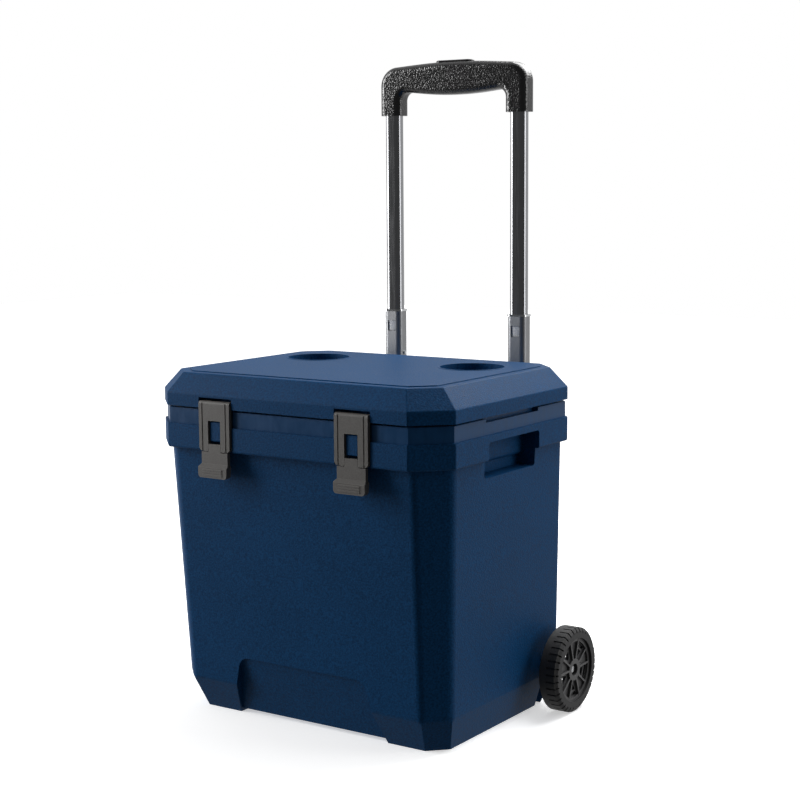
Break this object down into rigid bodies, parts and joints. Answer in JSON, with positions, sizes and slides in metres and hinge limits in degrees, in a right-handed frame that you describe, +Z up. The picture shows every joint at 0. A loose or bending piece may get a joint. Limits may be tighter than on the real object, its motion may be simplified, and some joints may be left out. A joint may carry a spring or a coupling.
{
  "type": "wheeled cooler",
  "caption": "Hard-sided insulated cooler box with a hinged lid, cup holders, front latches, side hand recesses, wheels and a telescoping pull handle.",
  "frame": {"origin": "on the ground, under the middle of the box's rim", "axes": "+X to the right along the box's long side, -Y to the front with the latches, +Z up"},
  "size_m": [0.494, 0.4144, 0.837],
  "materials": {
    "navy_plastic": "fine pebble grain",
    "navy_smooth": "smooth satin",
    "white_plastic": "smooth",
    "foam": "closed-cell foam",
    "rubber_seal": "soft",
    "steel": "zinc plated",
    "latch_grey": "satin",
    "wheel_plastic": "satin",
    "tyre_rubber": "soft",
    "black_plastic": "satin",
    "aluminium": "polished, dark anodised",
    "collar_metal": "bright",
    "grip_plastic": "pebble grain",
    "button_plastic": "smooth"
  },
  "bodies": {
    "cooler_body": {"body_shell": "navy_plastic", "body_liner": "white_plastic", "body_foam": "foam", "top_frame": "navy_smooth", "handle_housing": "navy_plastic", "housing_screws": "steel", "outer_tube_left": "aluminium", "outer_tube_right": "aluminium", "tube_rivets": "steel", "tube_collar_left": "collar_metal", "tube_collar_right": "collar_metal", "axle": "steel", "wheel_washers": "steel", "axle_spacers": "black_plastic", "push_nuts": "steel", "axle_clamp_left": "black_plastic", "axle_clamp_right": "black_plastic", "hinge_bracket_left": "navy_smooth", "hinge_bracket_right": "navy_smooth", "hinge_pin_left": "steel", "hinge_pin_right": "steel", "hinge_screws": "steel"},
    "lid": {"lid_shell": "navy_plastic", "lid_liner": "white_plastic", "lid_foam": "foam", "lid_gasket": "rubber_seal", "latch_pin_left": "steel", "latch_pin_right": "steel"},
    "link_left": {"latch_link_left": "latch_grey", "lever_pin_left": "steel"},
    "link_right": {"latch_link_right": "latch_grey", "lever_pin_right": "steel"},
    "lever_left": {"latch_lever_left": "latch_grey"},
    "lever_right": {"latch_lever_right": "latch_grey"},
    "wheel_left": {"wheel_rim_left": "wheel_plastic", "tyre_left": "tyre_rubber"},
    "wheel_right": {"wheel_rim_right": "wheel_plastic", "tyre_right": "tyre_rubber"},
    "handle": {"inner_tube_left": "aluminium", "inner_tube_right": "aluminium", "tube_glide_left": "black_plastic", "tube_glide_right": "black_plastic", "pull_rod_left": "steel", "pull_rod_right": "steel", "grip_bottom": "grip_plastic", "grip_top": "grip_plastic", "button_spring": "steel"},
    "button": {"release_button": "button_plastic"}
  },
  "joints": [
    {"name": "lid_hinge", "type": "hinge", "parent": "cooler_body", "child": "lid", "pos_m": [0, 0.166, 0.409], "axis": [-1, 0, 0], "range_deg": [0, 90]},
    {"name": "link_swing_left", "type": "hinge", "parent": "lid", "child": "link_left", "pos_m": [-0.1035, -0.1685, 0.4042], "axis": [-1, 0, 0], "range_deg": [0, 88]},
    {"name": "link_swing_right", "type": "hinge", "parent": "lid", "child": "link_right", "pos_m": [0.1035, -0.1685, 0.4042], "axis": [-1, 0, 0], "range_deg": [0, 88]},
    {"name": "lever_swing_left", "type": "hinge", "parent": "link_left", "child": "lever_left", "pos_m": [-0.1035, -0.173, 0.3515], "axis": [-1, 0, 0], "range_deg": [0, 80]},
    {"name": "lever_swing_right", "type": "hinge", "parent": "link_right", "child": "lever_right", "pos_m": [0.1035, -0.173, 0.3515], "axis": [-1, 0, 0], "range_deg": [0, 80]},
    {"name": "wheel_spin_left", "type": "hinge", "parent": "cooler_body", "child": "wheel_left", "pos_m": [-0.2335, 0.113, 0.0545], "axis": [1, 0, 0], "continuous": true},
    {"name": "wheel_spin_right", "type": "hinge", "parent": "cooler_body", "child": "wheel_right", "pos_m": [0.2335, 0.113, 0.0545], "axis": [1, 0, 0], "continuous": true},
    {"name": "handle_slide", "type": "slide", "parent": "cooler_body", "child": "handle", "axis": [0, 0, 1], "range_m": [-0.265, 0]},
    {"name": "button_press", "type": "slide", "parent": "handle", "child": "button", "axis": [0, 0, -1], "range_m": [0, 0.003], "stiffness_N_per_m": 600, "deforming": ["button_spring"]}
  ]
}
